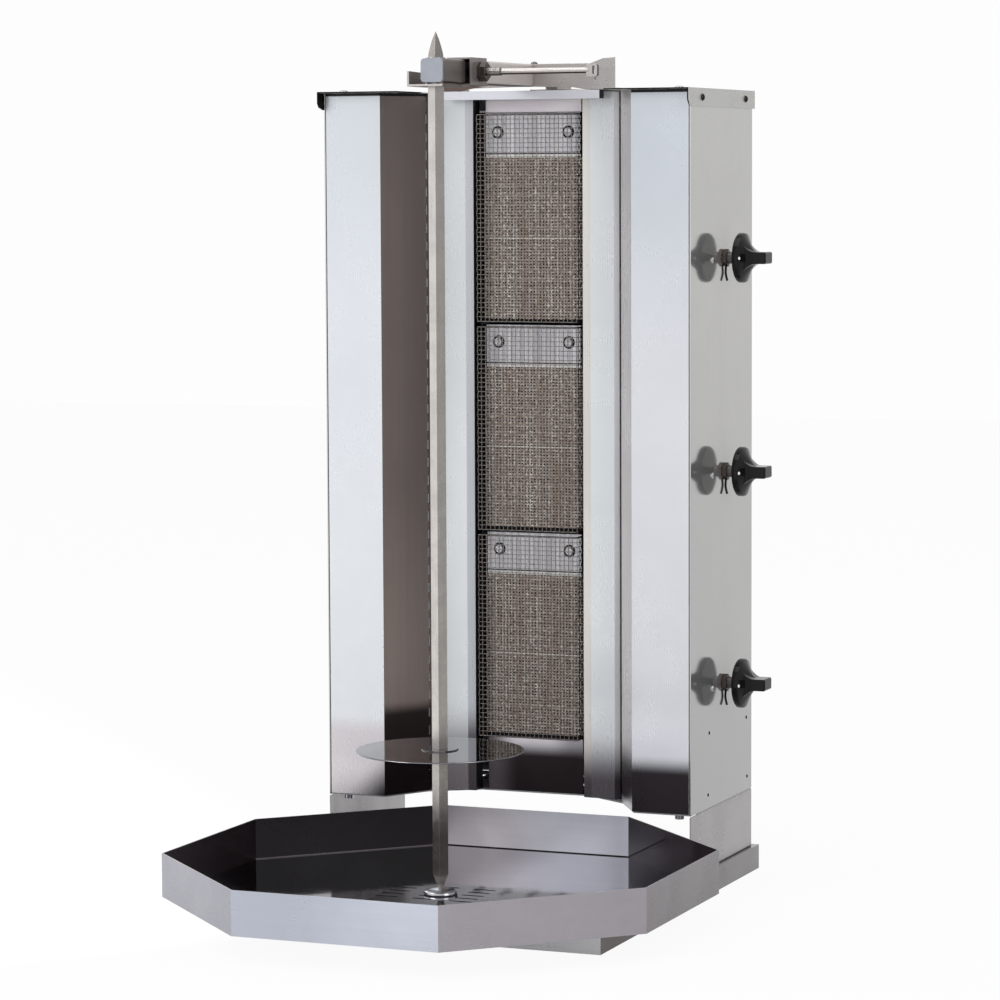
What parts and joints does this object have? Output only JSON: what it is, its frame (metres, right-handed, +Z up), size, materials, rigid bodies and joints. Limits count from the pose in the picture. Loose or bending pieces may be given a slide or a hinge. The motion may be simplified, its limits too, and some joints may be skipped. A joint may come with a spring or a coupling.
{
  "type": "vertical rotisserie oven",
  "caption": "Vertical gas rotisserie oven: a spit standing in an octagonal drip tray before stacked ceramic burners, with hinged heat shields, side knobs and a sliding top arm.",
  "frame": {"origin": "floor level directly under the spit axis", "axes": "+Z up along the spit; +Y from the spit to the back of the cabinet; +X to the side that carries the knobs"},
  "size_m": [0.549, 0.6865, 0.9437],
  "materials": {
    "cabinet_steel": "brushed stainless sheet, grain along the length of each panel",
    "shield_steel": "bright brushed stainless sheet with light heat tint",
    "polished_steel": "polished stainless with fine wear lines",
    "wire_steel": "bright woven stainless wire",
    "dark_steel": "dull zinc-plated pipe and pins",
    "arm_end_paint": "smooth pale bluish grey end cap",
    "cast_iron": "matt heat-darkened burner box",
    "ceramic": "porous ceramic burner tile, grainy and matt",
    "brass": "plain machined brass",
    "black_plastic": "glossy black moulded knob"
  },
  "bodies": {
    "cabinet": {"base_plinth": "cabinet_steel", "riser_left": "cabinet_steel", "riser_right": "cabinet_steel", "side_panel_left": "cabinet_steel", "side_panel_right": "cabinet_steel", "cabinet_floor": "cabinet_steel", "rear_cover": "cabinet_steel", "lid": "cabinet_steel", "top_filler": "cabinet_steel", "bottom_filler": "cabinet_steel", "arm_crossbar": "cabinet_steel", "burner_header_lower": "cabinet_steel", "burner_header_middle": "cabinet_steel", "burner_header_upper": "cabinet_steel", "reflector_left": "shield_steel", "reflector_right": "shield_steel", "burner_guard_lower": "wire_steel", "burner_guard_middle": "wire_steel", "burner_guard_upper": "wire_steel", "shield_pivot_left": "dark_steel", "shield_pivot_right": "dark_steel", "gas_manifold": "dark_steel", "mixing_tube_lower": "dark_steel", "mixing_tube_middle": "dark_steel", "mixing_tube_upper": "dark_steel", "knob_nut_lower": "dark_steel", "knob_nut_middle": "dark_steel", "knob_nut_upper": "dark_steel", "burner_body_lower": "cast_iron", "burner_body_middle": "cast_iron", "burner_body_upper": "cast_iron", "tile_lower_a": "ceramic", "tile_lower_b": "ceramic", "tile_middle_a": "ceramic", "tile_middle_b": "ceramic", "tile_upper_a": "ceramic", "tile_upper_b": "ceramic", "gas_inlet": "brass", "gas_tap_lower": "brass", "gas_tap_middle": "brass", "gas_tap_upper": "brass", "arm_bar": "cabinet_steel"},
    "shield_left": {"heat_shield_left": "shield_steel"},
    "shield_right": {"heat_shield_right": "shield_steel"},
    "tray": {"drip_tray": "cabinet_steel", "spit_cup": "polished_steel"},
    "head": {"arm_head_tube": "cabinet_steel", "arm_end_cap": "arm_end_paint", "spit_bush": "brass", "head_pull": "cabinet_steel", "clamp_bracket": "cabinet_steel"},
    "clamp": {"clamp_screw": "polished_steel"},
    "spit": {"spit": "polished_steel", "disc_clip": "wire_steel"},
    "disc": {"gyros_disc": "polished_steel"},
    "knob_lower": {"knob_lower": "black_plastic"},
    "knob_middle": {"knob_middle": "black_plastic"},
    "knob_upper": {"knob_upper": "black_plastic"}
  },
  "joints": [
    {"name": "shield_left_swing", "type": "hinge", "parent": "cabinet", "child": "shield_left", "pos_m": [-0.1985, 0.203, 0.49], "axis": [0, 0, 1], "range_deg": [-2.5, 15]},
    {"name": "shield_right_swing", "type": "hinge", "parent": "cabinet", "child": "shield_right", "pos_m": [0.1985, 0.203, 0.49], "axis": [0, 0, 1], "range_deg": [-15, 2.5]},
    {"name": "tray_slide", "type": "slide", "parent": "cabinet", "child": "tray", "axis": [0, 1, 0], "range_m": [-0.06, 0]},
    {"name": "head_slide", "type": "slide", "parent": "cabinet", "child": "head", "axis": [0, 1, 0], "range_m": [-0.06, 0]},
    {"name": "spit_spin", "type": "hinge", "parent": "tray", "child": "spit", "pos_m": [0, 0, 0.5], "axis": [0, 0, 1], "continuous": true},
    {"name": "disc_lift", "type": "slide", "parent": "spit", "child": "disc", "axis": [0, 0, 1], "range_m": [0, 0.55]},
    {"name": "clamp_turn", "type": "hinge", "parent": "head", "child": "clamp", "pos_m": [0.09, 0.074, 0.9027], "axis": [1, 0, 0], "range_deg": [-180, 180]},
    {"name": "knob_lower_turn", "type": "hinge", "parent": "cabinet", "child": "knob_lower", "pos_m": [0.24, 0.301, 0.2286], "axis": [1, 0, 0], "range_deg": [-180, 0]},
    {"name": "knob_middle_turn", "type": "hinge", "parent": "cabinet", "child": "knob_middle", "pos_m": [0.24, 0.301, 0.4648], "axis": [1, 0, 0], "range_deg": [-180, 0]},
    {"name": "knob_upper_turn", "type": "hinge", "parent": "cabinet", "child": "knob_upper", "pos_m": [0.24, 0.301, 0.701], "axis": [1, 0, 0], "range_deg": [-180, 0]}
  ],
  "couplings": [
    {"joint": "head_slide", "follows": "tray_slide", "ratio": 1}
  ]
}
